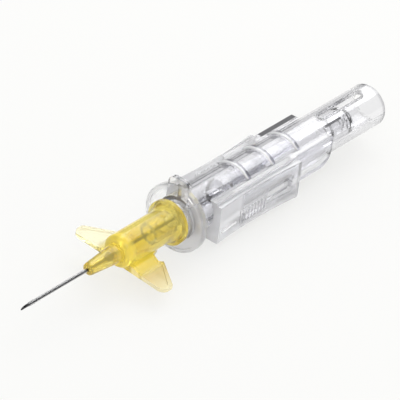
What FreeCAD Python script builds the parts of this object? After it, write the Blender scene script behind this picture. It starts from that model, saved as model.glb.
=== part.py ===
import FreeCAD, Part
import math
import os

# Safety intravenous cannula, 24 gauge with a 14 mm catheter, in millimetres.
# The needle axis is the X axis and the needle points along +X. Z is up.
# The origin is on the axis, at the rear face of the catheter hub.
# The winged catheter hub sits on the nose of a clear guard tube. The guard slides
# forward through a clear housing, over the needle that the housing carries.

# Axial stations along X
needle_tip_x = 35.95
catheter_tip_x = 34.25
hub_nose_x = 20.25
hub_shoulder_x = 12.35
collar_front_x = -1.15
housing_front_x = -6.45
grip_rear_x = -27.1
arm_rear_x = -36.95

# Needle and catheter tube, 24 gauge
needle_radius = 0.235
needle_lumen_radius = 0.12
needle_bevel_length = 1.5
needle_rear_x = -12.95
tube_radius = 0.36
tube_bore_radius = 0.28
tube_tip_radius = 0.30
tube_tip_length = 1.3
flare_front_x = 16.60
flare_rear_x = 15.20
flare_radius = 0.80
ferrule_wall = 0.14
ferrule_collar_length = 0.5
ferrule_gap = 0.3

# Catheter hub
nose_front_radius = 1.10
nose_rear_radius = 1.62
nose_round = 0.55
nose_steps = 3
shoulder_steps = 4
flare_steps = 3
barrel_radius = 2.85
shoulder_length = 0.95
flange_radius = 3.90
flange_thickness = 0.7
flange_flare_length = 1.9
luer_mouth_radius = 2.15
luer_depth = 8.0
luer_taper = 0.03
luer_end_length = 0.9
luer_end_step = 0.15
nose_ring_height = 0.20
nose_ring_length = 0.35

# Wings of the catheter hub, which sits a few degrees round on its taper
hub_turn = -5.0
wing_half_span = 9.60
wing_level_z = -2.50
wing_root_thickness = 1.15
wing_blade_thickness = 0.50
wing_root_half_span = 3.10
wing_slope_length = 2.60
wing_front_x = 12.2
wing_tip_rear_x = 9.85
wing_heel_x = 6.3
wing_heel_y = 4.65
wing_notch_depth = 0.75
wing_notch_width = 0.50
wing_notch_foot = 0.52
wing_notch_foot_y = 2.75
wing_root_rear_x = 4.5
wing_root_rear_y = 1.85
wing_front_round = 1.3
wing_rear_round = 0.6
wing_rim_width = 0.55
wing_rim_height = 0.16

# Guard tube, its collar, tab and nose
guard_radius = 3.76
guard_wall = 0.88
guard_bevel = 0.25
collar_radius = 6.00
collar_thickness = 1.25
collar_recess_depth = 0.40
collar_recess_inner = 3.85
collar_recess_outer = 5.35
boss_radius = 3.10
tab_half_width = 2.05
tab_top_z = 7.45
tab_thickness = 0.95
tab_corner = 1.1
tab_gusset_length = 1.6
tab_gusset_thickness = 0.8
nose_length = 6.2
nose_bore_radius = 1.25
nose_hole_radius = 0.55
nose_front_wall = 0.8
top_slot_front_x = -37.75
top_slot_rear_x = -49.65
top_slot_width = 1.7
tail_ring_length = 3.6

# Travel and clearances
tip_cover = 2.2
luer_clearance = 0.08
seat_gap = 0.15
guide_clearance = 0.10
slot_side_clearance = 0.20
slot_end_clearance = 0.25
needle_seat_clearance = 0.03
flare_clearance = 0.03

# Needle housing: a channel with two grips, two rear arms and three hoops
channel_half_width = 4.25
channel_top_z = 2.65
channel_bottom_z = -4.68
channel_round = 0.45
grip_front_height = 1.06
grip_rear_height = 1.22
grip_waist_height = 0.64
grip_waist_x = -16.6
grip_top_z = 2.20
grip_edge_bevel = 0.15
rib_count = 9
rib_pitch = 0.80
rib_width = 0.38
rib_height = 0.24
rib_root_depth = 0.2
rib_top_z = -1.0
rib_bottom_z = -3.4
rib_front_x = -12.2
pocket_top_z = 0.35
pocket_bottom_z = -2.50
pocket_floor_height = 0.30
pocket_front_x = -19.3
pocket_rear_x = -25.2
bar_front_x = -7.2
bar_rear_x = -11.3
bar_height = 0.16
bar_top_z = -2.50
bar_width = 0.25
arm_bottom_z = -2.87
arm_lower_round = 2.6
arm_upper_round = 0.7
hoop_radius = 4.25
hoop_thickness = 0.90
hoop_fronts = (-15.65, -22.0, -28.45)
hoop_foot_z = 2.0
hoop_bevel = 0.15

# Needle hub with its flash chamber and keel
chamber_radius = 2.45
chamber_wall = 0.50
chamber_front_x = -11.75
chamber_nose_length = 2.3
chamber_nose_radius = 0.95
chamber_rear_x = -43.95
chamber_cavity_front_x = -13.75
chamber_cone_length = 0.5
chamber_step_height = 0.35
needle_seat_flare = 0.3
needle_seat_flare_length = 0.4
keel_front_x = -12.15
keel_length = 4.4
keel_width = 1.5
keel_pocket_depth = 0.45
keel_pocket_clearance = 0.05

# Vent plug and filter
plug_insert_length = 4.6
plug_flange_thickness = 0.7
plug_bore_radius = 0.72
plug_clearance = 0.03
filter_thickness = 3.6
plug_lead_length = 0.4
plug_lead_height = 0.2
plug_lip_radius = 0.4

end_round_share = 0.98
flat_tolerance = 1e-6
full_turn = 360.0
quarter_turn = 90.0
overshoot = 1.0
axis_x = FreeCAD.Vector(1, 0, 0)
centre = FreeCAD.Vector(0, 0, 0)

guard_bore_radius = guard_radius - guard_wall
channel_bore_radius = guard_radius + guide_clearance
collar_rear_x = collar_front_x - collar_thickness
keel_rear_x = keel_front_x - keel_length
grip_front_half_width = channel_half_width + grip_front_height
grip_rear_half_width = channel_half_width + grip_rear_height
grip_waist_half_width = channel_half_width + grip_waist_height
guard_nose_x = nose_length - seat_gap
guard_travel = needle_tip_x + tip_cover - guard_nose_x
keel_slot_width = keel_width + 2 * slot_side_clearance
keel_slot_front_x = keel_front_x + slot_end_clearance
keel_slot_rear_x = keel_rear_x - guard_travel - slot_end_clearance
guard_rear_x = keel_slot_rear_x - tail_ring_length
keel_foot_z = -channel_bore_radius - keel_pocket_depth


def turned(profile):
    """A solid of revolution about the needle axis, from (x, radius) points."""
    points = [FreeCAD.Vector(x, r, 0) for x, r in profile]
    face = Part.Face(Part.makePolygon(points + [points[0]]))
    return face.revolve(centre, axis_x, full_turn)


def full_curve(start, end, steps):
    """Profile points of a bulging quarter ellipse, from its face to its side."""
    points = []
    for step in range(steps + 1):
        turn = math.radians(quarter_turn * step / steps)
        x = end[0] + (start[0] - end[0]) * math.cos(turn)
        radius = start[1] + (end[1] - start[1]) * math.sin(turn)
        points.append((x, radius))
    return points


def hollow_curve(start, end, steps):
    """Profile points of a hollow quarter ellipse, from its side to its face."""
    points = []
    for step in range(steps + 1):
        turn = math.radians(quarter_turn * step / steps)
        x = start[0] + (end[0] - start[0]) * math.sin(turn)
        radius = end[1] + (start[1] - end[1]) * math.cos(turn)
        points.append((x, radius))
    return points


def rod(front_x, rear_x, radius):
    """A cylinder on the needle axis."""
    base = FreeCAD.Vector(rear_x, 0, 0)
    return Part.makeCylinder(radius, front_x - rear_x, base, axis_x)


def block(x_low, x_high, y_low, y_high, z_low, z_high):
    """A box from its lowest and highest corners."""
    size = (x_high - x_low, y_high - y_low, z_high - z_low)
    return Part.makeBox(*size, FreeCAD.Vector(x_low, y_low, z_low))


def fused(solids):
    """One solid from several that meet, with their shared faces merged."""
    whole = solids[0]
    for solid in solids[1:]:
        whole = whole.fuse(solid)
    return whole.removeSplitter()


def plate(points, z_low, z_high):
    """An upright prism over an outline of (x, y) points."""
    corners = [FreeCAD.Vector(x, y, z_low) for x, y in points]
    face = Part.Face(Part.makePolygon(corners + [corners[0]]))
    return face.extrude(FreeCAD.Vector(0, 0, z_high - z_low))


def mirrored(solid):
    """The same form on the other side of the needle axis."""
    return solid.mirror(centre, FreeCAD.Vector(0, 1, 0))


def rounded(solid, radius, wanted):
    """Fillets on the edges whose centre passes the test."""
    edges = [edge for edge in solid.Edges if wanted(edge)]
    return solid.makeFillet(radius, edges) if edges else solid


def bevelled(solid, width, wanted):
    """Flat bevels on the edges whose centre passes the test."""
    edges = [edge for edge in solid.Edges if wanted(edge)]
    return solid.makeChamfer(width, edges) if edges else solid


def upright(edge):
    """True for an edge that runs along Z."""
    low = edge.BoundBox
    return low.XLength < flat_tolerance and low.YLength < flat_tolerance and low.ZLength > flat_tolerance


def along_y(edge):
    """True for an edge that runs along Y."""
    low = edge.BoundBox
    return low.XLength < flat_tolerance and low.ZLength < flat_tolerance and low.YLength > flat_tolerance


def along_x(edge):
    """True for an edge that runs along X."""
    low = edge.BoundBox
    return low.YLength < flat_tolerance and low.ZLength < flat_tolerance and low.XLength > flat_tolerance


def long_round(front_x, rear_x, width, z_low, z_high):
    """An upright bar with round ends, for a slot or for what runs in it."""
    half = width / 2
    bar = block(rear_x, front_x, -half, half, z_low, z_high)
    return rounded(bar, half * end_round_share, upright)


def catheter_tube():
    """The soft tube, with a tapered tip and a flare that the ferrule wedges."""
    lead = tube_bore_radius
    flare_bore = flare_radius - (tube_radius - tube_bore_radius)
    profile = [
        (catheter_tip_x, lead),
        (catheter_tip_x, tube_tip_radius),
        (catheter_tip_x - tube_tip_length, tube_radius),
        (flare_front_x, tube_radius),
        (flare_rear_x, flare_radius),
        (flare_rear_x, flare_bore),
        (flare_front_x, tube_bore_radius),
    ]
    return turned(profile)


def catheter_ferrule():
    """The metal funnel that holds the tube's flare against the hub."""
    flare_bore = flare_radius - (tube_radius - tube_bore_radius)
    slope = (flare_bore - tube_bore_radius) / (flare_front_x - flare_rear_x)
    skin = flare_bore - flare_clearance
    inner = skin - ferrule_wall
    front_inner = needle_radius + needle_seat_clearance
    front_x = flare_rear_x + (skin - ferrule_wall - front_inner) / slope
    front_skin = skin - slope * (front_x - flare_rear_x)
    rear_x = flare_rear_x - ferrule_collar_length
    profile = [
        (front_x, front_inner),
        (front_x, front_skin),
        (flare_rear_x, skin),
        (rear_x, skin),
        (rear_x, inner),
        (flare_rear_x, inner),
    ]
    return turned(profile)


def hub_outside():
    """The outer form of the hub, from the round nose to the rear flange."""
    shoulder_front = hub_shoulder_x + shoulder_length
    ring_front = shoulder_front + nose_ring_length
    ring_radius = nose_rear_radius + nose_ring_height
    nose_side = (hub_nose_x - nose_round, nose_front_radius)
    nose_face = (hub_nose_x, nose_front_radius - nose_round)
    shoulder_foot = (shoulder_front, ring_radius)
    barrel_front = (hub_shoulder_x, barrel_radius)
    flare_front = (flange_thickness + flange_flare_length, barrel_radius)
    flange_edge = (flange_thickness, flange_radius)
    profile = [(0, 0), (hub_nose_x, 0)]
    profile += full_curve(nose_face, nose_side, nose_steps)
    profile += [(ring_front, nose_rear_radius), (ring_front, ring_radius)]
    profile += full_curve(shoulder_foot, barrel_front, shoulder_steps)
    profile += hollow_curve(flare_front, flange_edge, flare_steps)
    profile += [(0, flange_radius)]
    return turned(profile)


def hub_inside():
    """The female taper, the funnel to the ferrule and the seat of the tube."""
    seat = tube_radius + flare_clearance
    flare_seat = flare_radius + flare_clearance
    luer_end_radius = luer_mouth_radius - luer_taper * luer_depth
    funnel_x = flare_rear_x - ferrule_collar_length - ferrule_gap
    profile = [
        (hub_nose_x + overshoot, 0),
        (hub_nose_x + overshoot, seat),
        (flare_front_x, seat),
        (flare_rear_x, flare_seat),
        (funnel_x, flare_seat),
        (luer_depth + luer_end_length, luer_end_radius - luer_end_step),
        (luer_depth, luer_end_radius),
        (0, luer_mouth_radius),
        (-overshoot, luer_mouth_radius + luer_taper),
        (-overshoot, 0),
    ]
    return turned(profile)


def wing_outline(inset):
    """Half of the wings seen from above, pulled in from its border by inset."""
    return [
        (wing_front_x - inset, 0),
        (wing_front_x - inset, wing_half_span - inset),
        (wing_tip_rear_x + inset, wing_half_span - inset),
        (wing_heel_x + inset, wing_heel_y),
        (wing_heel_x + wing_notch_depth + inset, wing_heel_y - wing_notch_width),
        (wing_heel_x + wing_notch_foot + inset, wing_notch_foot_y),
        (wing_root_rear_x + inset, wing_root_rear_y),
        (wing_root_rear_x + inset, 0),
    ]


def tip_rounded(solid, inset):
    """The two corners at the wing tip, rounded."""
    middle_x = (wing_front_x + wing_tip_rear_x) / 2

    def at_tip(edge):
        return upright(edge) and edge.CenterOfMass.y > (wing_heel_y + wing_half_span) / 2

    def front_tip(edge):
        return at_tip(edge) and edge.CenterOfMass.x > middle_x

    def rear_tip(edge):
        return at_tip(edge) and edge.CenterOfMass.x < middle_x

    solid = rounded(solid, wing_front_round - inset, front_tip)
    return rounded(solid, wing_rear_round, rear_tip)


def wing_blade():
    """The thin blade of one wing, rounded at the tip."""
    low = wing_level_z - wing_blade_thickness / 2
    return tip_rounded(plate(wing_outline(0), low, low + wing_blade_thickness), 0)


def wing_rim():
    """The raised border of the blade, on its upper face."""
    low = wing_level_z
    high = low + wing_blade_thickness / 2 + wing_rim_height
    band = tip_rounded(plate(wing_outline(0), low, high), 0)
    inner = wing_outline(wing_rim_width)
    hollow = tip_rounded(plate(inner, low - overshoot, high + overshoot), wing_rim_width)
    root_side = block(0, wing_front_x + overshoot, -overshoot, wing_root_half_span,
                      low - overshoot, high + overshoot)
    return band.cut(hollow).cut(root_side)


def wing_root():
    """The thick root of one wing, which slopes out to the blade."""
    low = wing_level_z - wing_blade_thickness / 2
    high = low + wing_root_thickness
    thick = plate(wing_outline(0), low, high)
    slope_end = wing_root_half_span + wing_slope_length
    thin_z = low + wing_blade_thickness / 2
    points = [
        FreeCAD.Vector(0, wing_root_half_span, high + overshoot),
        FreeCAD.Vector(0, wing_root_half_span, high),
        FreeCAD.Vector(0, slope_end, thin_z),
        FreeCAD.Vector(0, wing_half_span + overshoot, thin_z),
        FreeCAD.Vector(0, wing_half_span + overshoot, high + overshoot),
    ]
    side = Part.Face(Part.makePolygon(points + [points[0]]))
    cutter = side.extrude(FreeCAD.Vector(wing_front_x + overshoot, 0, 0))
    beyond = block(0, wing_front_x + overshoot, slope_end, wing_half_span + overshoot,
                   low - overshoot, high + overshoot)
    return thick.cut(cutter).cut(beyond)


def catheter_hub():
    """The winged hub, hollow from the female taper to the nose."""
    half = fused([wing_blade(), wing_rim(), wing_root()])
    body = fused([hub_outside(), half, mirrored(half)])
    hub = body.cut(hub_inside())
    hub.rotate(centre, axis_x, hub_turn)
    return hub


def introducer_needle():
    """The steel needle with its bevelled point."""
    shaft = rod(needle_tip_x, needle_rear_x, needle_radius)
    lumen = rod(needle_tip_x + overshoot, needle_rear_x - overshoot, needle_lumen_radius)
    bevel_rear = needle_tip_x - needle_bevel_length
    low = -needle_radius
    high = needle_radius
    slope = (high - low) / needle_bevel_length
    ahead = needle_tip_x + overshoot
    points = [
        FreeCAD.Vector(bevel_rear, -overshoot, high),
        FreeCAD.Vector(ahead, -overshoot, low - slope * overshoot),
        FreeCAD.Vector(ahead, -overshoot, high),
    ]
    wedge = Part.Face(Part.makePolygon(points + [points[0]]))
    return shaft.cut(lumen).cut(wedge.extrude(FreeCAD.Vector(0, 2 * overshoot, 0)))


def guard_body():
    """The turned form of the guard: nose, boss, collar and tube."""
    tip_radius = luer_mouth_radius - luer_taper * guard_nose_x - luer_clearance
    root_radius = luer_mouth_radius - luer_clearance
    bore_front = collar_rear_x - guard_wall
    tail_bevel = guard_wall / 2
    profile = [
        (guard_nose_x, nose_hole_radius),
        (guard_nose_x, tip_radius - guard_bevel),
        (guard_nose_x - guard_bevel, tip_radius),
        (-seat_gap, root_radius),
        (-seat_gap, boss_radius),
        (collar_front_x, boss_radius),
        (collar_front_x, collar_radius - guard_bevel),
        (collar_front_x - guard_bevel, collar_radius),
        (collar_rear_x + guard_bevel, collar_radius),
        (collar_rear_x, collar_radius - guard_bevel),
        (collar_rear_x, guard_radius),
        (guard_rear_x + tail_bevel, guard_radius),
        (guard_rear_x, guard_radius - tail_bevel),
        (guard_rear_x, guard_bore_radius),
        (bore_front, guard_bore_radius),
        (bore_front + guard_bore_radius - nose_bore_radius, nose_bore_radius),
        (guard_nose_x - nose_front_wall, nose_bore_radius),
        (guard_nose_x - nose_front_wall, nose_hole_radius),
    ]
    return turned(profile)


def push_off_tab():
    """The finger tab above the collar, with a gusset behind it."""
    rear_x = collar_front_x - tab_thickness
    tab = block(rear_x, collar_front_x, -tab_half_width, tab_half_width,
                guard_radius - guard_wall / 2, tab_top_z)

    def top_corner(edge):
        return along_x(edge) and edge.CenterOfMass.z > tab_top_z - tab_corner

    tab = rounded(tab, tab_corner, top_corner)
    foot_z = guard_radius - guard_wall / 2
    half = tab_gusset_thickness / 2
    points = [
        FreeCAD.Vector(rear_x, -half, foot_z),
        FreeCAD.Vector(rear_x, -half, tab_top_z - tab_corner),
        FreeCAD.Vector(rear_x - tab_gusset_length, -half, foot_z),
    ]
    side = Part.Face(Part.makePolygon(points + [points[0]]))
    return tab.fuse(side.extrude(FreeCAD.Vector(0, 2 * half, 0)))


def collar_recess():
    """A ring-shaped recess that thins the front face of the collar."""
    outer = rod(collar_front_x + overshoot, collar_front_x - collar_recess_depth, collar_recess_outer)
    inner = rod(collar_front_x + overshoot, collar_front_x - collar_recess_depth, collar_recess_inner)
    return outer.cut(inner)


def needle_guard():
    """The clear tube that slides forward over the needle point."""
    body = guard_body().cut(collar_recess())
    body = fused([body, push_off_tab()])
    keel_slot = long_round(keel_slot_front_x, keel_slot_rear_x, keel_slot_width,
                          -guard_radius - overshoot, 0)
    top_slot = long_round(top_slot_front_x, top_slot_rear_x, top_slot_width,
                         0, guard_radius + overshoot)
    return body.cut(keel_slot).cut(top_slot)


def grip_plan():
    """One grip seen from above, with a long shallow hollow for the finger."""
    front = FreeCAD.Vector(housing_front_x, grip_front_half_width, 0)
    waist = FreeCAD.Vector(grip_waist_x, grip_waist_half_width, 0)
    rear = FreeCAD.Vector(grip_rear_x, grip_rear_half_width, 0)
    rear_root = FreeCAD.Vector(grip_rear_x, 0, 0)
    front_root = FreeCAD.Vector(housing_front_x, 0, 0)
    edges = [
        Part.makeLine(front_root, rear_root),
        Part.makeLine(rear_root, rear),
        Part.Arc(rear, waist, front).toShape(),
        Part.makeLine(front, front_root),
    ]
    return Part.Face(Part.Wire(edges))


def grip_ribs():
    """Upright finger ribs in the hollow of one grip."""
    ribs = []
    foot = channel_half_width - rib_root_depth
    crown = grip_waist_half_width + rib_height
    for index in range(rib_count):
        x = rib_front_x - index * rib_pitch
        rib = block(x - rib_width, x, foot, crown, rib_bottom_z, rib_top_z)
        ribs.append(rib)
    return ribs


def grip_pocket():
    """The shallow pocket behind the ribs of one grip."""
    return block(
        pocket_rear_x, pocket_front_x,
        channel_half_width + pocket_floor_height, grip_rear_half_width + overshoot,
        pocket_bottom_z, pocket_top_z,
    )


def grip_bar():
    """The fine raised bar ahead of the ribs of one grip."""
    low = bar_top_z - bar_width
    blank = block(bar_rear_x, bar_front_x, channel_half_width,
                  grip_front_half_width + overshoot, low, bar_top_z)
    raised = grip_plan()
    raised.translate(FreeCAD.Vector(0, bar_height, low))
    return blank.common(raised.extrude(FreeCAD.Vector(0, 0, bar_width)))


def grip():
    """One grip pad of the housing, on the +Y side."""
    pad = grip_plan()
    pad.translate(FreeCAD.Vector(0, 0, channel_bottom_z))
    solid = pad.extrude(FreeCAD.Vector(0, 0, grip_top_z - channel_bottom_z))

    def outer_border(edge):
        middle = edge.CenterOfMass
        flat = edge.BoundBox.ZLength < flat_tolerance
        return flat and middle.y > channel_half_width and not along_y(edge)

    solid = bevelled(solid, grip_edge_bevel, outer_border)
    return fused([solid.cut(grip_pocket()), grip_bar()] + grip_ribs())


def channel():
    """The channel that holds the guard, before its bore is cut."""
    solid = block(grip_rear_x, housing_front_x, -channel_half_width, channel_half_width,
                  channel_bottom_z, channel_top_z)

    def bottom_corner(edge):
        return along_x(edge) and edge.CenterOfMass.z < channel_bottom_z + channel_round

    return rounded(solid, channel_round, bottom_corner)


def arms():
    """The two rear arms, as one blank with rounded rear corners."""
    solid = block(arm_rear_x, grip_rear_x + overshoot, -channel_half_width, channel_half_width,
                  arm_bottom_z, channel_top_z)

    def lower_corner(edge):
        middle = edge.CenterOfMass
        return along_y(edge) and middle.x < grip_rear_x and middle.z < 0

    def upper_corner(edge):
        middle = edge.CenterOfMass
        return along_y(edge) and middle.x < grip_rear_x and middle.z > 0

    solid = rounded(solid, arm_lower_round, lower_corner)
    return rounded(solid, arm_upper_round, upper_corner)


def hoop(front_x):
    """One hoop that bridges the channel and keeps the guard in it."""
    rear_x = front_x - hoop_thickness
    inner = guard_bore_radius
    profile = [
        (front_x, inner),
        (front_x, hoop_radius - hoop_bevel),
        (front_x - hoop_bevel, hoop_radius),
        (rear_x + hoop_bevel, hoop_radius),
        (rear_x, hoop_radius - hoop_bevel),
        (rear_x, inner),
    ]
    above = block(rear_x, front_x, -hoop_radius, hoop_radius, hoop_foot_z, hoop_radius)
    return turned(profile).common(above)


def keel_pocket():
    """The pocket in the floor that the keel of the needle hub stands in."""
    half = keel_width / 2 + keel_pocket_clearance
    return block(keel_rear_x - keel_pocket_clearance, keel_front_x + keel_pocket_clearance,
                 -half, half, keel_foot_z, 0)


def needle_housing():
    """The clear handle that the fingers hold."""
    pads = grip()
    solid = fused([channel(), arms(), pads, mirrored(pads)] + [hoop(x) for x in hoop_fronts])
    bore = rod(housing_front_x + overshoot, arm_rear_x - overshoot, channel_bore_radius)
    return solid.cut(bore).cut(keel_pocket()).removeSplitter()


def needle_hub():
    """The hub behind the needle, with the flash chamber and the keel."""
    cavity = chamber_radius - chamber_wall
    nose_front_x = chamber_front_x + chamber_nose_length
    seat = needle_radius + needle_seat_clearance
    profile = [
        (nose_front_x, seat),
        (nose_front_x, chamber_nose_radius),
        (chamber_front_x + chamber_cone_length, chamber_nose_radius + chamber_step_height),
        (chamber_front_x, chamber_radius),
        (chamber_rear_x, chamber_radius),
        (chamber_rear_x, cavity),
        (chamber_cavity_front_x, cavity),
        (chamber_cavity_front_x, seat + needle_seat_flare),
        (chamber_cavity_front_x + needle_seat_flare_length, seat),
    ]
    keel_root_z = chamber_wall / 2 - chamber_radius
    keel = long_round(keel_front_x, keel_rear_x, keel_width, keel_foot_z, keel_root_z)
    return fused([turned(profile), keel])


def vent_plug():
    """The stopper in the rear of the flash chamber, with a vent hole."""
    insert_radius = chamber_radius - chamber_wall - plug_clearance
    flange_rear_x = chamber_rear_x - plug_flange_thickness
    insert_front_x = chamber_rear_x + plug_insert_length
    step_x = chamber_rear_x
    profile = [
        (insert_front_x, plug_bore_radius),
        (insert_front_x, insert_radius - plug_lead_height),
        (insert_front_x - plug_lead_length, insert_radius),
        (step_x, insert_radius),
        (step_x, chamber_radius),
        (flange_rear_x, chamber_radius),
        (flange_rear_x, plug_lip_radius),
        (step_x, plug_lip_radius),
        (step_x, plug_bore_radius),
    ]
    return turned(profile)


def vent_filter():
    """The porous disc in the bore of the vent plug."""
    radius = plug_bore_radius - plug_clearance
    front_x = chamber_rear_x + filter_thickness
    return rod(front_x, chamber_rear_x, radius)


PIECES = {
    "catheter_tube": catheter_tube,
    "catheter_ferrule": catheter_ferrule,
    "catheter_hub": catheter_hub,
    "introducer_needle": introducer_needle,
    "needle_guard": needle_guard,
    "needle_housing": needle_housing,
    "needle_hub": needle_hub,
    "vent_plug": vent_plug,
    "vent_filter": vent_filter,
}


os.makedirs("parts", exist_ok=True)
for name, make in PIECES.items():
    shape = make()
    shape.exportStep("parts/" + name + ".step")
    print(name, len(shape.Solids), shape.isValid(), round(shape.Volume, 2))
print("guard travel", round(guard_travel, 2))
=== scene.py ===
import math

import bpy
from mathutils import Matrix, Vector


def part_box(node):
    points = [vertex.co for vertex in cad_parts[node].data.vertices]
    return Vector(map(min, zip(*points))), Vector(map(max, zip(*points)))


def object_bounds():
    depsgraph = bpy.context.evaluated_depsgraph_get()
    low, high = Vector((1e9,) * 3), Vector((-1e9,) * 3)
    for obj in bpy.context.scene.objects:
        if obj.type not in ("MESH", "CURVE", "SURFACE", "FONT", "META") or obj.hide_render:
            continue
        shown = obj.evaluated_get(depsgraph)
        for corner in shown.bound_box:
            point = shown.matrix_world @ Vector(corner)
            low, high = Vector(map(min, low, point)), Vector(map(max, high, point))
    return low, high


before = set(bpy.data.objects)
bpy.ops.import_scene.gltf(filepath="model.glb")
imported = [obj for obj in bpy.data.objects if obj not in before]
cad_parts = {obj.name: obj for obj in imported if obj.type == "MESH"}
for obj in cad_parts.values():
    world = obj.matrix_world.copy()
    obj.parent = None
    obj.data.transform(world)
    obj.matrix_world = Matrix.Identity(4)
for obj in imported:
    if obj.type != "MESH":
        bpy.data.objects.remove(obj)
cad_low, cad_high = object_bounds()

# Lengths in metres, in the frame of the part: +X to the needle point, +Z up. The places
# that the materials use are in millimetres in that frame. Each is a limit or a low and a
# high limit, with the softness of its edge after it where that isn't the usual one.
MM = 0.001
SOFTNESS = 0.1

# Two directions across the needle axis, at right angles, as their Y and Z parts:
# to the far wing and up, and to the near wing and up
FAR_HIGH = (-0.755, 0.656)
NEAR_HIGH = (0.656, 0.755)

WHITE = (1.0, 1.0, 1.0)
UNIT = (0.0, 1.0)

# The photograph's view: the place of the needle tip in its 400 x 400 pixels, the slope
# of the needle axis there, its angle to the view, and the part's turn about it
IMAGE_SIDE = 400
TIP_PIXEL = Vector((21.0, 309.0))
AXIS_SLOPE = math.radians(30.52)
AXIS_TO_VIEW = math.radians(47.0)
ROLL = math.radians(41.0)
CAMERA_DISTANCE = 0.70
PIXELS_PER_METRE = 6500.0
SENSOR = 36.0
CLIP_START = 0.01

# The floor where it is seen: its own light, and the part that a shadow can dim
PAPER_WHITE = (0.975, 0.975, 0.955)
FLOOR_GLOW = 0.754
FLOOR_SHADED = (0.20, 0.20, 0.20)
# The floor for scattered light
FLOOR_COLOUR = (0.9, 0.9, 0.89)
FLOOR_ROUGHNESS = 0.9
FLOOR_HALF = 1.5

# The surround for scattered light, and for three kinds of rays
SURROUND = (0.80, 0.80, 0.81)
SURROUND_FOR_RAYS = {
    "Is Camera Ray": PAPER_WHITE,
    "Is Glossy Ray": (0.30, 0.30, 0.31),
    "Is Transmission Ray": (0.86, 0.86, 0.86),
}

# The lamps: direction from their target, distance, side and radiance
LAMP_TARGET = (-0.008, 0, 0)
LAMPS = {
    "back_softbox": ((-0.70, -0.17, 0.69), 0.55, 0.50, 2.2),
    "front_softbox": ((0.55, 0.45, 0.70), 0.60, 0.30, 1.6),
}


def camera_axes():
    """The camera's right, up and back directions in the part's frame."""
    back = Vector((
        math.cos(AXIS_TO_VIEW),
        math.sin(AXIS_TO_VIEW) * math.sin(ROLL),
        math.sin(AXIS_TO_VIEW) * math.cos(ROLL),
    ))
    rearward = Vector((-1, 0, 0))
    along = (rearward - rearward.dot(back) * back).normalized()
    across = back.cross(along)
    if across.y < 0:
        across = -across
    right = math.cos(AXIS_SLOPE) * along + math.sin(AXIS_SLOPE) * across
    up = math.sin(AXIS_SLOPE) * along - math.cos(AXIS_SLOPE) * across
    return right, up, back


def add_camera():
    """A long lens, so the needle tip falls on its pixel of the photograph."""
    right, up, back = camera_axes()
    tip = Vector((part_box("introducer_needle")[1].x, 0, 0))
    offset = (TIP_PIXEL - Vector((IMAGE_SIDE / 2, IMAGE_SIDE / 2))) / PIXELS_PER_METRE
    place = tip + CAMERA_DISTANCE * back - offset.x * right + offset.y * up
    data = bpy.data.cameras.new("camera")
    data.sensor_width = SENSOR
    data.lens = SENSOR * PIXELS_PER_METRE * CAMERA_DISTANCE / IMAGE_SIDE
    data.clip_start = CLIP_START
    camera = bpy.data.objects.new("camera", data)
    turn = Matrix((right, up, back)).transposed().to_4x4()
    camera.matrix_world = Matrix.Translation(place) @ turn
    bpy.context.scene.collection.objects.link(camera)
    bpy.context.scene.camera = camera


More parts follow.
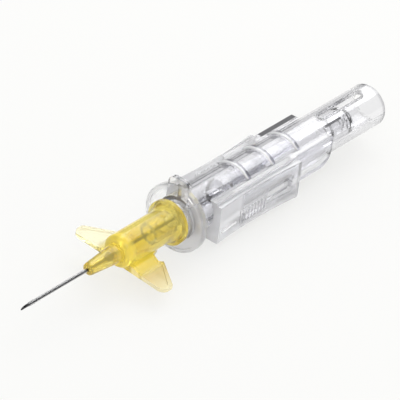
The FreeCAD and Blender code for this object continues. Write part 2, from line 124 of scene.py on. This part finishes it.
class Tree:
    """The nodes of a material or of the world, and soft masks for places on the part."""

    bump_detail = 3.0
    bump_depth = 0.05 * MM
    upright_limit = 0.5

    def __init__(self, owner):
        owner.use_nodes = True
        self.owner = owner
        self.nodes = owner.node_tree.nodes
        self.links = owner.node_tree.links
        self.noise = None

    def give(self, value, socket):
        """Sets a socket to a number or a colour, or links another node to it."""
        if isinstance(value, float):
            socket.default_value = value
        elif isinstance(value, tuple):
            socket.default_value = (*value, 1)
        else:
            self.links.new(value, socket)

    def shade(self, name, value):
        """Sets or links an input of the material's shader."""
        self.give(value, self.nodes["Principled BSDF"].inputs[name])

    def output(self, name, value):
        """Links the surface or the volume of the material."""
        self.links.new(value, self.nodes["Material Output"].inputs[name])

    def ramp(self, value, source, target):
        """Carries a value from one range to another, and keeps it inside."""
        node = self.nodes.new("ShaderNodeMapRange")
        for name, level in zip(("From Min", "From Max", "To Min", "To Max"), (*source, *target)):
            node.inputs[name].default_value = level
        self.links.new(value, node.inputs["Value"])
        return node.outputs["Result"]

    def maths(self, operation, *values, clamp=True):
        """A maths operation on values or masks."""
        node = self.nodes.new("ShaderNodeMath")
        node.operation = operation
        node.use_clamp = clamp
        for socket, value in zip(node.inputs, values):
            self.give(value, socket)
        return node.outputs["Value"]

    def tinted(self, below, mask, colour):
        """A colour laid over another where the mask is 1."""
        mix = self.nodes.new("ShaderNodeMix")
        mix.data_type = "RGBA"
        self.give(below, mix.inputs["A"])
        self.give(colour, mix.inputs["B"])
        self.give(mask, mix.inputs["Factor"])
        return mix.outputs["Result"]

    def separated(self, name):
        """The X, Y and Z of a texture coordinate."""
        place = self.nodes.new("ShaderNodeTexCoord")
        split = self.nodes.new("ShaderNodeSeparateXYZ")
        self.links.new(place.outputs[name], split.inputs["Vector"])
        return split.outputs["X"], split.outputs["Y"], split.outputs["Z"]

    def position(self):
        """The X, Y and Z of a point in the part's own frame, in metres."""
        return self.separated("Object")

    def axis_distance(self, y, z):
        """The distance of a point from the needle axis, in metres."""
        flat = self.nodes.new("ShaderNodeCombineXYZ")
        self.links.new(y, flat.inputs["Y"])
        self.links.new(z, flat.inputs["Z"])
        length = self.nodes.new("ShaderNodeVectorMath")
        length.operation = "LENGTH"
        self.links.new(flat.outputs["Vector"], length.inputs[0])
        return length.outputs["Value"]

    def towards(self, y, z, direction):
        """How far a point lies from the axis in a direction across it, in metres."""
        y_part, z_part = direction
        sideways = self.maths("MULTIPLY", y, y_part, clamp=False)
        return self.maths("MULTIPLY_ADD", z, z_part, sideways, clamp=False)

    def over(self, coordinate, limit, softness=SOFTNESS):
        """A mask that rises from 0 to 1 where a coordinate passes a limit."""
        source = ((limit - softness) * MM, (limit + softness) * MM)
        return self.ramp(coordinate, source, (0.0, 1.0))

    def under(self, coordinate, limit, softness=SOFTNESS):
        """A mask that falls from 1 to 0 where a coordinate passes a limit."""
        source = ((limit - softness) * MM, (limit + softness) * MM)
        return self.ramp(coordinate, source, (1.0, 0.0))

    def between(self, coordinate, low, high, softness=SOFTNESS):
        """A mask that is 1 where a coordinate lies between two limits."""
        above = self.over(coordinate, low, softness)
        below = self.under(coordinate, high, softness)
        return self.all_of(above, below)

    def all_of(self, *masks):
        """The part that several masks share."""
        whole = masks[0]
        for mask in masks[1:]:
            whole = self.maths("MULTIPLY", whole, mask)
        return whole

    def any_of(self, *masks):
        """The parts of several masks together."""
        whole = masks[0]
        for mask in masks[1:]:
            whole = self.maths("MAXIMUM", whole, mask)
        return whole

    def upright_wall(self):
        """A mask for faces that stand upright in the part's own frame."""
        steepness = self.maths("ABSOLUTE", self.separated("Normal")[2], clamp=False)
        return self.maths("LESS_THAN", steepness, self.upright_limit)

    def grazing(self, start):
        """A mask that rises where a surface is seen edge on."""
        weight = self.nodes.new("ShaderNodeLayerWeight")
        return self.ramp(weight.outputs["Facing"], (start, 1.0), UNIT)

    def seen_directly(self):
        """One for rays from the camera, or by reflection or through the clear plastic."""
        path = self.nodes.new("ShaderNodeLightPath")
        rays = ("Is Camera Ray", "Is Transmission Ray", "Is Glossy Ray")
        return self.any_of(*[path.outputs[ray] for ray in rays])

    def noise_bump(self, scale, strength):
        """A fine uneven surface from noise in the part's own coordinates."""
        place = self.nodes.new("ShaderNodeTexCoord")
        noise = self.nodes.new("ShaderNodeTexNoise")
        noise.inputs["Scale"].default_value = scale
        noise.inputs["Detail"].default_value = self.bump_detail
        bump = self.nodes.new("ShaderNodeBump")
        bump.inputs["Strength"].default_value = strength
        bump.inputs["Distance"].default_value = self.bump_depth
        self.links.new(place.outputs["Object"], noise.inputs["Vector"])
        self.noise = noise.outputs["Fac"]
        self.links.new(self.noise, bump.inputs["Height"])
        self.shade("Normal", bump.outputs["Normal"])

    def uneven_gloss(self, low, high):
        """Roughness that wanders between two values with the noise."""
        self.shade("Roughness", self.ramp(self.noise, UNIT, (low, high)))

    def uneven_colour(self, colour, share):
        """A colour that wanders between a darker share of itself and itself."""
        darker = tuple(part * share for part in colour)
        return self.tinted(darker, self.noise, colour)

    def tinted_inside(self, colour, density):
        """Gives a moulding a colour that deepens with its thickness."""
        absorb = self.nodes.new("ShaderNodeVolumeAbsorption")
        self.give(colour, absorb.inputs["Color"])
        self.give(density, absorb.inputs["Density"])
        self.output("Volume", absorb.outputs["Volume"])

    def varied(self, name, usual, mask, special):
        """A shader value that differs where the mask is 1."""
        self.shade(name, self.ramp(mask, UNIT, (usual, special)))

    def colours(self, usual, masks, tints):
        """The usual colour with tints laid over it, one after another."""
        for place, colour in tints.items():
            usual = self.tinted(usual, masks[place], colour)
        self.shade("Base Color", usual)

    def weighted(self, masks, shares):
        """One mask from several, each at its own share of full strength."""
        parts = []
        for place, share in shares.items():
            mask = masks[place]
            parts.append(mask if share == 1.0 else self.all_of(mask, share))
        return self.any_of(*parts)


def new_material(name):
    """A new node material with its shader and output."""
    return Tree(bpy.data.materials.new(name))


# Clear moulded plastic
PLASTIC_IOR = 1.49
PLASTIC_COAT_ROUGHNESS = 0.03
PLASTIC_BUMP = (260.0, 0.06)
PLASTIC_GLOSS = (0.6, 1.6)
PLASTIC_INSIDE = (0.50, 0.50, 0.54)


def clear_plastic(name, colour, density, coat):
    """Clear moulded plastic, grey where it is thick, with a faint flow pattern."""
    tree = new_material(name)
    tree.shade("Base Color", colour)
    tree.shade("Transmission Weight", 1.0)
    tree.shade("IOR", PLASTIC_IOR)
    tree.shade("Coat Weight", coat)
    tree.shade("Coat Roughness", PLASTIC_COAT_ROUGHNESS)
    tree.noise_bump(*PLASTIC_BUMP)
    tree.tinted_inside(PLASTIC_INSIDE, density)
    return tree


# The housing, and its places
HOUSING_COLOUR = (0.905, 0.905, 0.93)
HOUSING_DENSITY = 30.0
HOUSING_COAT = 0.6
HOUSING_ROUGHNESS = 0.12
# The far arm's top: a matt strip of painted shade
FAR_ARM_COAT = 0.0
FAR_ARM_ROUGHNESS = 0.6
SIDE_Y = 4.5
TOP_Z = (2.58, 0.04)
HIGH_Z = (2.72, 0.04)
BLOCK_REAR_X = -27.3
# The arms' tops: a thin line of painted shade on the near arm, a broad strip of painted shade on
# the far arm
FAR_ARM_Y = -3.3
NEAR_ARM_Y = 3.95
ARM_END_X = -36.7
POCKET_X = (-25.3, -19.3)
# Dark lines of painted shade along the pocket's upper and lower edges
POCKET_UPPER_Z = (-0.95, -0.70, 0.05)
POCKET_LOWER_Z = (-2.80, -2.55, 0.05)
STEP_NEAR_Y = (4.15, 4.35)
STEP_FAR_Y = (-4.35, -4.15)
STEP_Z = (2.15, 2.64, 0.02)
LEDGE_Y = (4.3, 0.05)
LEDGE_Z = (2.1, 2.3, 0.02)
# A white painted highlight along a short bar low on the sides
BAR_X = (-11.35, -7.15, 0.03)
BAR_Z = (-2.78, -2.47, 0.03)
HOUSING_FRONT_X = (-6.5, 0.03)
FLANK_Z = 2.1
FLANK_FRONT_X = (-13.0, 1.0)
HOOP_FRONTS_X = (-15.65, -22.0, -28.45)
# From the front of a hoop: a white painted highlight on its front edge, then a band of painted
# shade behind it
HOOP_PAINTED_HIGHLIGHT = (-0.17, 0.1, 0.03)
HOOP_PAINTED_SHADE = (-0.95, -0.45, 0.05)
HOUSING_TINTS = {
    "flank": (0.86, 0.86, 0.88),
    # painted shade: the upward faces of the block and the hoop tops darker
    "block_top": (0.88, 0.88, 0.91),
    "high": (0.85, 0.85, 0.88),
    # painted shade behind each hoop's front edge, and a white painted highlight on that edge
    "hoop_back_shade": (0.42, 0.42, 0.45),
    "hoop_front_highlight": WHITE,
    # painted shade on the arms' tops
    "near_arm": (0.35, 0.35, 0.38),
    "far_arm": (0.10, 0.10, 0.105),
    "arm_end": (0.55, 0.55, 0.58),
    # painted shade along the pocket's edges
    "pocket_lines": (0.30, 0.30, 0.32),
    # painted shade: the near ledge darker
    "ledge": (0.80, 0.80, 0.82),
    "front": (0.92, 0.92, 0.94),
    # a white painted highlight on the bar
    "bar": WHITE,
}
HOUSING_SOLID = {
    "far_arm": 1.0,
    "bar": 1.0,
    "front": 0.7,
    "flank": 0.28,
    "flank_front": 0.55,
    "step": 0.7,
    "ledge": 0.5,
    "hoop_front_highlight": 0.7,
}


def housing_plastic():
    """The housing's plastic: paler flanks, white painted highlights, dark bands and lines of
    painted shade, one arm dark with painted shade.
    """
    tree = clear_plastic("housing_clear", HOUSING_COLOUR, HOUSING_DENSITY, HOUSING_COAT)
    x, y, z = tree.position()
    side = tree.any_of(tree.over(y, SIDE_Y), tree.under(y, -SIDE_Y))
    top = tree.over(z, *TOP_Z)
    high = tree.over(z, *HIGH_Z)
    block = tree.over(x, BLOCK_REAR_X)
    behind = tree.under(x, BLOCK_REAR_X)
    pocket = tree.all_of(side, tree.between(x, *POCKET_X))
    upper_line = tree.all_of(pocket, tree.between(z, *POCKET_UPPER_Z))
    lower_line = tree.all_of(pocket, tree.between(z, *POCKET_LOWER_Z))
    step_y = tree.any_of(tree.between(y, *STEP_NEAR_Y), tree.between(y, *STEP_FAR_Y))
    bands = {}
    for name, (low, high_end, softness) in (("front", HOOP_PAINTED_HIGHLIGHT), ("back", HOOP_PAINTED_SHADE)):
        bands[name] = tree.any_of(*[
            tree.between(x, hoop_x + low, hoop_x + high_end, softness)
            for hoop_x in HOOP_FRONTS_X
        ])
    flank = tree.all_of(side, tree.under(z, FLANK_Z))
    masks = {
        "flank": flank,
        "flank_front": tree.all_of(flank, tree.over(x, *FLANK_FRONT_X)),
        "block_top": tree.all_of(top, block),
        "high": high,
        "hoop_front_highlight": tree.all_of(high, bands["front"]),
        "hoop_back_shade": tree.all_of(high, bands["back"]),
        "near_arm": tree.all_of(top, behind, tree.over(y, NEAR_ARM_Y)),
        "far_arm": tree.all_of(top, behind, tree.under(y, FAR_ARM_Y)),
        "arm_end": tree.under(x, ARM_END_X),
        "pocket_lines": tree.any_of(upper_line, lower_line),
        "step": tree.all_of(block, tree.between(z, *STEP_Z), step_y),
        "ledge": tree.all_of(block, tree.between(z, *LEDGE_Z), tree.over(y, *LEDGE_Y)),
        "front": tree.over(x, *HOUSING_FRONT_X),
        "bar": tree.all_of(side, tree.between(x, *BAR_X), tree.between(z, *BAR_Z)),
    }
    tree.colours(HOUSING_COLOUR, masks, HOUSING_TINTS)
    tree.varied("Transmission Weight", 1.0, tree.weighted(masks, HOUSING_SOLID), 0.0)
    tree.varied("Coat Weight", HOUSING_COAT, masks["far_arm"], FAR_ARM_COAT)
    tree.varied("Roughness", HOUSING_ROUGHNESS, masks["far_arm"], FAR_ARM_ROUGHNESS)
    return tree.owner


# The guard, and its places
GUARD_COLOUR = (0.95, 0.95, 0.965)
GUARD_DENSITY = 60.0
GUARD_COAT = 0.45
GUARD_ROUGHNESS = 0.05
FROSTED_ROUGHNESS = 0.90
COLLAR_X = (-4.2, -0.1, 0.2)
COLLAR_LOWER = (0.6, 0.8)
DISC_RADIUS = (3.6, 0.3)
DISC_TOP_Z = (6.2, 0.4)
DISC_MIDDLE_Y = (-0.5, 1.5)
LOST_RIM_RADIUS = (5.1, 0.2)
LOST_RIM_HIGH = (1.5, 0.8)
LOST_RIM_Y = (-2.4, 0.6)
# The collar web: a darker grey of painted shade
WEB_FAR_HIGH = (3.2, 4.95, 0.2)
WEB_NEAR_HIGH = (1.2, 0.4)
# The tube behind the collar gets painted shade where it is seen edge on
TUBE_FRONT_X = -4.3
TUBE_EDGE_START = 0.50
TAIL_X = -51.95
# The near and upper side of the tail, where its rim gets painted shade
TAIL_SHOWN = (1.5, 0.5)
TAIL_AWAY = (-0.3, 0.5)
SLOT_X = (-49.8, -37.6)
SLOT_Y = (-0.9, 0.9)
SLOT_Z = 2.0
GUARD_TINTS = {
    # painted shade where the tube is seen edge on
    "edge": (0.40, 0.40, 0.42),
    "near_disc": (0.94, 0.94, 0.96),
    "whitened": WHITE,
    # painted shade on the collar web
    "web": (0.80, 0.80, 0.81),
    # painted shade on the near and upper side of the tail's rim
    "rim": (0.60, 0.60, 0.62),
}
GUARD_FROSTED = {"soft": 0.33, "away_end": 1.0, "lost_rim": 1.0}
GUARD_SOLID = {"near_disc": 0.25, "far_disc": 0.06, "core": 0.40}


def guard_plastic():
    """The guard's plastic: the lower half of its collar frosted; painted shade where seen edge
    on, on the rear rim and on the collar web.
    """
    tree = clear_plastic("guard_clear", GUARD_COLOUR, GUARD_DENSITY, GUARD_COAT)
    x, y, z = tree.position()
    radius = tree.axis_distance(y, z)
    far_high = tree.towards(y, z, FAR_HIGH)
    near_high = tree.towards(y, z, NEAR_HIGH)
    collar = tree.between(x, *COLLAR_X)
    lower = tree.all_of(collar, tree.under(far_high, *COLLAR_LOWER))
    disc = tree.all_of(collar, tree.over(radius, *DISC_RADIUS), tree.under(z, *DISC_TOP_Z))
    far_disc = tree.all_of(disc, tree.under(y, *DISC_MIDDLE_Y))
    middle = tree.all_of(collar, tree.under(radius, *DISC_RADIUS))
    tail = tree.under(x, TAIL_X)
    away_end = tree.all_of(tail, tree.under(near_high, *TAIL_AWAY))
    shown = tree.any_of(tree.over(y, *TAIL_SHOWN), tree.over(z, *TAIL_SHOWN))
    slot = tree.all_of(tree.between(x, *SLOT_X), tree.between(y, *SLOT_Y), tree.over(z, SLOT_Z))
    masks = {
        "edge": tree.all_of(tree.under(x, TUBE_FRONT_X), tree.grazing(TUBE_EDGE_START)),
        "near_disc": tree.all_of(disc, tree.over(y, *DISC_MIDDLE_Y)),
        "far_disc": far_disc,
        "core": tree.all_of(middle, lower),
        "whitened": tree.any_of(far_disc, middle, slot, away_end),
        "web": tree.all_of(
            collar,
            tree.between(far_high, *WEB_FAR_HIGH),
            tree.over(near_high, *WEB_NEAR_HIGH),
        ),
        "rim": tree.all_of(tail, shown),
        "soft": tree.any_of(lower, slot, tail),
        "away_end": away_end,
        "lost_rim": tree.all_of(
            collar,
            tree.over(radius, *LOST_RIM_RADIUS),
            tree.over(far_high, *LOST_RIM_HIGH),
            tree.under(y, *LOST_RIM_Y),
        ),
    }
    tree.colours(GUARD_COLOUR, masks, GUARD_TINTS)
    frosted = tree.weighted(masks, GUARD_FROSTED)
    tree.varied("Roughness", GUARD_ROUGHNESS, frosted, FROSTED_ROUGHNESS)
    tree.varied("Transmission Weight", 1.0, tree.weighted(masks, GUARD_SOLID), 0.0)
    return tree.owner


# The dark line of painted shade near the chamber's rear end
LINE_X = (-42.3, -38.2)
LINE_FAR_HIGH = (0.18, 0.56, 0.05)
LINE_NEAR_HIGH = 1.9
PAINTED_SHADE_LINE_COLOUR = (0.16, 0.16, 0.17)
LINE_TRANSMISSION = 0.1


def chamber_plastic(name, colour, roughness, density, coat):
    """Clear plastic with a dark line of painted shade near the chamber's rear end."""
    tree = clear_plastic(name, colour, density, coat)
    tree.uneven_gloss(*[roughness * share for share in PLASTIC_GLOSS])
    x, y, z = tree.position()
    # a dark line of painted shade on the side that faces up and near
    painted_shade_line = tree.all_of(
        tree.between(x, *LINE_X),
        tree.between(tree.towards(y, z, FAR_HIGH), *LINE_FAR_HIGH),
        tree.over(tree.towards(y, z, NEAR_HIGH), LINE_NEAR_HIGH),
    )
    tree.shade("Base Color", tree.tinted(colour, painted_shade_line, PAINTED_SHADE_LINE_COLOUR))
    tree.varied("Transmission Weight", 1.0, painted_shade_line, LINE_TRANSMISSION)
    return tree.owner


# The yellow hub, and its places
YELLOW = (1.0, 0.86, 0.26)
YELLOW_IOR = 1.42
YELLOW_BUMP = (400.0, 0.12)
YELLOW_GLOSS = (0.04, 0.10)
YELLOW_INSIDE = (1.0, 0.965, 0.40)
YELLOW_DENSITY = 200.0
YELLOW_TRANSMISSION = 0.85
YELLOW_SOLID_TRANSMISSION = 0.05
NEAR_WING_Y = (4.6, 0.8)
NEAR_TIP_Y = (7.5, 2.0)
NEAR_EDGE_Y = (4.4, 0.6)
NEAR_EDGE_Z = (-2.28, 0.02)
ROOT_EDGE_X = (9.0, 0.5)
ROOT_EDGE_Y = (2.4, 4.4, 0.4)
ROOT_EDGE_Z = (-1.5, 0.2)
ROOT_Y = (1.6, 4.4, 0.5)
ROOT_Z = (-1.0, 0.5)
FAR_WING_Y = (-4.2, 1.0)
BODY_Y = (-3.9, 3.9, 0.2)
SHOULDER_X = (11.8, 14.4, 0.8)
BARREL_X = (10.0, 1.5)
BARREL_RADIUS = 2.6
NOSE_X = (14.5, 0.5)
YELLOW_TINTS = {
    "low_root": (1.0, 0.80, 0.12),
    "shoulder": (1.0, 0.81, 0.14),
    # painted shade: a darker yellow on the near wing
    "nose": (0.98, 0.84, 0.27),
    "near_wing": (0.82, 0.66, 0.27),
    "near_tip": (0.95, 0.88, 0.56),
    "near_edge": (1.0, 0.92, 0.60),
    "root_edge": (1.0, 0.85, 0.36),
    # painted light: a paler yellow on the far wing, where it is lit through
    "far_wing": (0.99, 0.94, 0.72),
}
YELLOW_SOLID = {
    "near_wing": 0.45,
    "root_edge": 1.0,
    "near_edge": 0.8,
    "shoulder": 0.60,
    "nose": 0.12,
    "barrel": 0.10,
}


def yellow_plastic():
    """Translucent yellow moulding, deeper in its body than in its thin wings, with painted shade
    on the near wing and painted light on the far wing.
    """
    tree = new_material("hub_yellow")
    tree.shade("IOR", YELLOW_IOR)
    tree.noise_bump(*YELLOW_BUMP)
    tree.uneven_gloss(*YELLOW_GLOSS)
    x, y, z = tree.position()
    wall = tree.upright_wall()
    body = tree.between(y, *BODY_Y)
    outside = tree.over(tree.axis_distance(y, z), BARREL_RADIUS)
    masks = {
        "low_root": tree.all_of(tree.between(y, *ROOT_Y), tree.under(z, *ROOT_Z)),
        "shoulder": tree.all_of(tree.between(x, *SHOULDER_X), body),
        "barrel": tree.all_of(tree.under(x, *BARREL_X), body, outside),
        "nose": tree.over(x, *NOSE_X),
        "near_wing": tree.over(y, *NEAR_WING_Y),
        "near_tip": tree.over(y, *NEAR_TIP_Y),
        "near_edge": tree.all_of(
            wall,
            tree.over(y, *NEAR_EDGE_Y),
            tree.under(z, *NEAR_EDGE_Z),
        ),
        "root_edge": tree.all_of(
            wall,
            tree.between(y, *ROOT_EDGE_Y),
            tree.under(z, *ROOT_EDGE_Z),
            tree.over(x, *ROOT_EDGE_X),
        ),
        "far_wing": tree.under(y, *FAR_WING_Y),
    }
    tree.colours(YELLOW, masks, YELLOW_TINTS)
    solid = tree.weighted(masks, YELLOW_SOLID)
    tree.varied("Transmission Weight", YELLOW_TRANSMISSION, solid, YELLOW_SOLID_TRANSMISSION)
    tree.tinted_inside(YELLOW_INSIDE, YELLOW_DENSITY)
    return tree.owner


# Drawn steel, and the front of its place inside the chamber, where the needle has a lighter
# painted reflection
STREAK_STRETCH = 0.03
STREAK_DETAIL = 4.0
STREAK_DARKER = 0.85
STEEL_GLOSS = (0.7, 1.4)
STEEL_INSIDE_X = -6.5


def steel(name, colour, roughness, scale, inside_painted_reflection):
    """Drawn steel with fine lengthwise streaks, in a second colour inside the chamber, which for
    the needle is a lighter painted reflection.
    """
    tree = new_material(name)
    tree.shade("Metallic", 1.0)
    place = tree.nodes.new("ShaderNodeTexCoord")
    stretch = tree.nodes.new("ShaderNodeMapping")
    stretch.inputs["Scale"].default_value = (scale * STREAK_STRETCH, scale, scale)
    noise = tree.nodes.new("ShaderNodeTexNoise")
    noise.inputs["Scale"].default_value = 1.0
    noise.inputs["Detail"].default_value = STREAK_DETAIL
    tree.links.new(place.outputs["Object"], stretch.inputs["Vector"])
    tree.links.new(stretch.outputs["Vector"], noise.inputs["Vector"])
    tree.noise = noise.outputs["Fac"]
    inside = tree.under(tree.position()[0], STEEL_INSIDE_X)
    streaked = tree.uneven_colour(colour, STREAK_DARKER)
    tree.shade("Base Color", tree.tinted(streaked, inside, inside_painted_reflection))
    tree.uneven_gloss(*[roughness * share for share in STEEL_GLOSS])
    return tree.owner


# Soft clouded polymer
MILKY_BUMP = (900.0, 0.1)
MILKY_DARKER = 0.92


def milky(name, colour, transmission, roughness):
    """Soft translucent polymer with faint clouding."""
    tree = new_material(name)
    tree.shade("Transmission Weight", transmission)
    tree.shade("Roughness", roughness)
    tree.noise_bump(*MILKY_BUMP)
    tree.shade("Base Color", tree.uneven_colour(colour, MILKY_DARKER))
    return tree.owner


CHAMBER_COLOUR = (0.97, 0.97, 0.98)
NEEDLE_STEEL = (0.10, 0.10, 0.105)
# a lighter painted reflection on the needle where it lies inside the chamber
NEEDLE_STEEL_PAINTED_REFLECTION = (0.34, 0.34, 0.35)
FERRULE_STEEL = (0.08, 0.07, 0.04)
TUBE_COLOUR = (0.96, 0.96, 0.96)

MATERIALS = {
    "needle_guard": guard_plastic(),
    "needle_housing": housing_plastic(),
    "needle_hub": chamber_plastic(
        "chamber_clear", CHAMBER_COLOUR, roughness=0.08, density=20.0, coat=0.0,
    ),
    "catheter_hub": yellow_plastic(),
    "introducer_needle": steel(
        "needle_steel", NEEDLE_STEEL, roughness=0.25, scale=9000.0, inside_painted_reflection=NEEDLE_STEEL_PAINTED_REFLECTION,
    ),
    "catheter_ferrule": steel(
        "ferrule_steel", FERRULE_STEEL, roughness=0.35, scale=5000.0, inside_painted_reflection=FERRULE_STEEL,
    ),
    "catheter_tube": milky("catheter_tube", TUBE_COLOUR, transmission=1.0, roughness=0.08),
    "vent_plug": chamber_plastic("plug_clear", WHITE, roughness=0.04, density=5.0, coat=0.1),
    "vent_filter": milky("filter_white", WHITE, transmission=1.0, roughness=0.05),
}


def dress(name):
    """Gives a CAD node its material."""
    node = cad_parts[name]
    for place in node.material_slots:
        place.material = MATERIALS[name]


for node_name in MATERIALS:
    dress(node_name)


def add_world():
    """A soft studio surround: white through the plastic, greyer in reflections."""
    world = bpy.data.worlds.new("studio")
    tree = Tree(world)
    bpy.context.scene.world = world
    path = tree.nodes.new("ShaderNodeLightPath")
    level = SURROUND
    for ray, ray_level in SURROUND_FOR_RAYS.items():
        level = tree.tinted(level, path.outputs[ray], ray_level)
    tree.give(level, tree.nodes["Background"].inputs["Color"])


def add_lamp(name, direction, distance, size, radiance):
    """A square area lamp of a given radiance that faces the part."""
    data = bpy.data.lights.new(name, "AREA")
    data.shape = "SQUARE"
    data.size = size
    data.energy = radiance * math.pi * size * size
    lamp = bpy.data.objects.new(name, data)
    away = Vector(direction).normalized()
    lamp.location = Vector(LAMP_TARGET) + distance * away
    lamp.rotation_euler = away.to_track_quat("Z", "Y").to_euler()
    bpy.context.scene.collection.objects.link(lamp)


def floor_material():
    """White where it is seen, with a faint shadow, and pale for scattered light."""
    tree = new_material("floor_pale")
    tree.shade("Roughness", FLOOR_ROUGHNESS)
    tree.shade("Specular IOR Level", 0.0)
    tree.shade("Base Color", FLOOR_COLOUR)
    seen = tree.nodes.new("ShaderNodeBsdfDiffuse")
    tree.give(FLOOR_SHADED, seen.inputs["Color"])
    glow = tree.nodes.new("ShaderNodeEmission")
    tree.give(PAPER_WHITE, glow.inputs["Color"])
    tree.give(FLOOR_GLOW, glow.inputs["Strength"])
    both = tree.nodes.new("ShaderNodeAddShader")
    tree.give(seen.outputs["BSDF"], both.inputs[0])
    tree.give(glow.outputs["Emission"], both.inputs[1])
    mix = tree.nodes.new("ShaderNodeMixShader")
    tree.give(tree.seen_directly(), mix.inputs["Fac"])
    tree.give(tree.nodes["Principled BSDF"].outputs["BSDF"], mix.inputs[1])
    tree.give(both.outputs["Shader"], mix.inputs[2])
    tree.output("Surface", mix.outputs["Shader"])
    return tree.owner


def add_floor():
    """A pale floor under the collar."""
    low = -FLOOR_HALF
    high = FLOOR_HALF
    z = cad_low.z
    mesh = bpy.data.meshes.new("floor")
    corners = [(low, low, z), (high, low, z), (high, high, z), (low, high, z)]
    mesh.from_pydata(corners, [], [(0, 1, 2, 3)])
    floor = bpy.data.objects.new("floor", mesh)
    bpy.context.scene.collection.objects.link(floor)
    mesh.materials.append(floor_material())


add_world()
for lamp_name, lamp_values in LAMPS.items():
    add_lamp(lamp_name, *lamp_values)
add_floor()
add_camera()

bpy.context.scene.view_settings.view_transform = "Standard"
cycles = bpy.context.scene.cycles
cycles.max_bounces = 40
cycles.transmission_bounces = 36
cycles.glossy_bounces = 16
cycles.transparent_max_bounces = 16
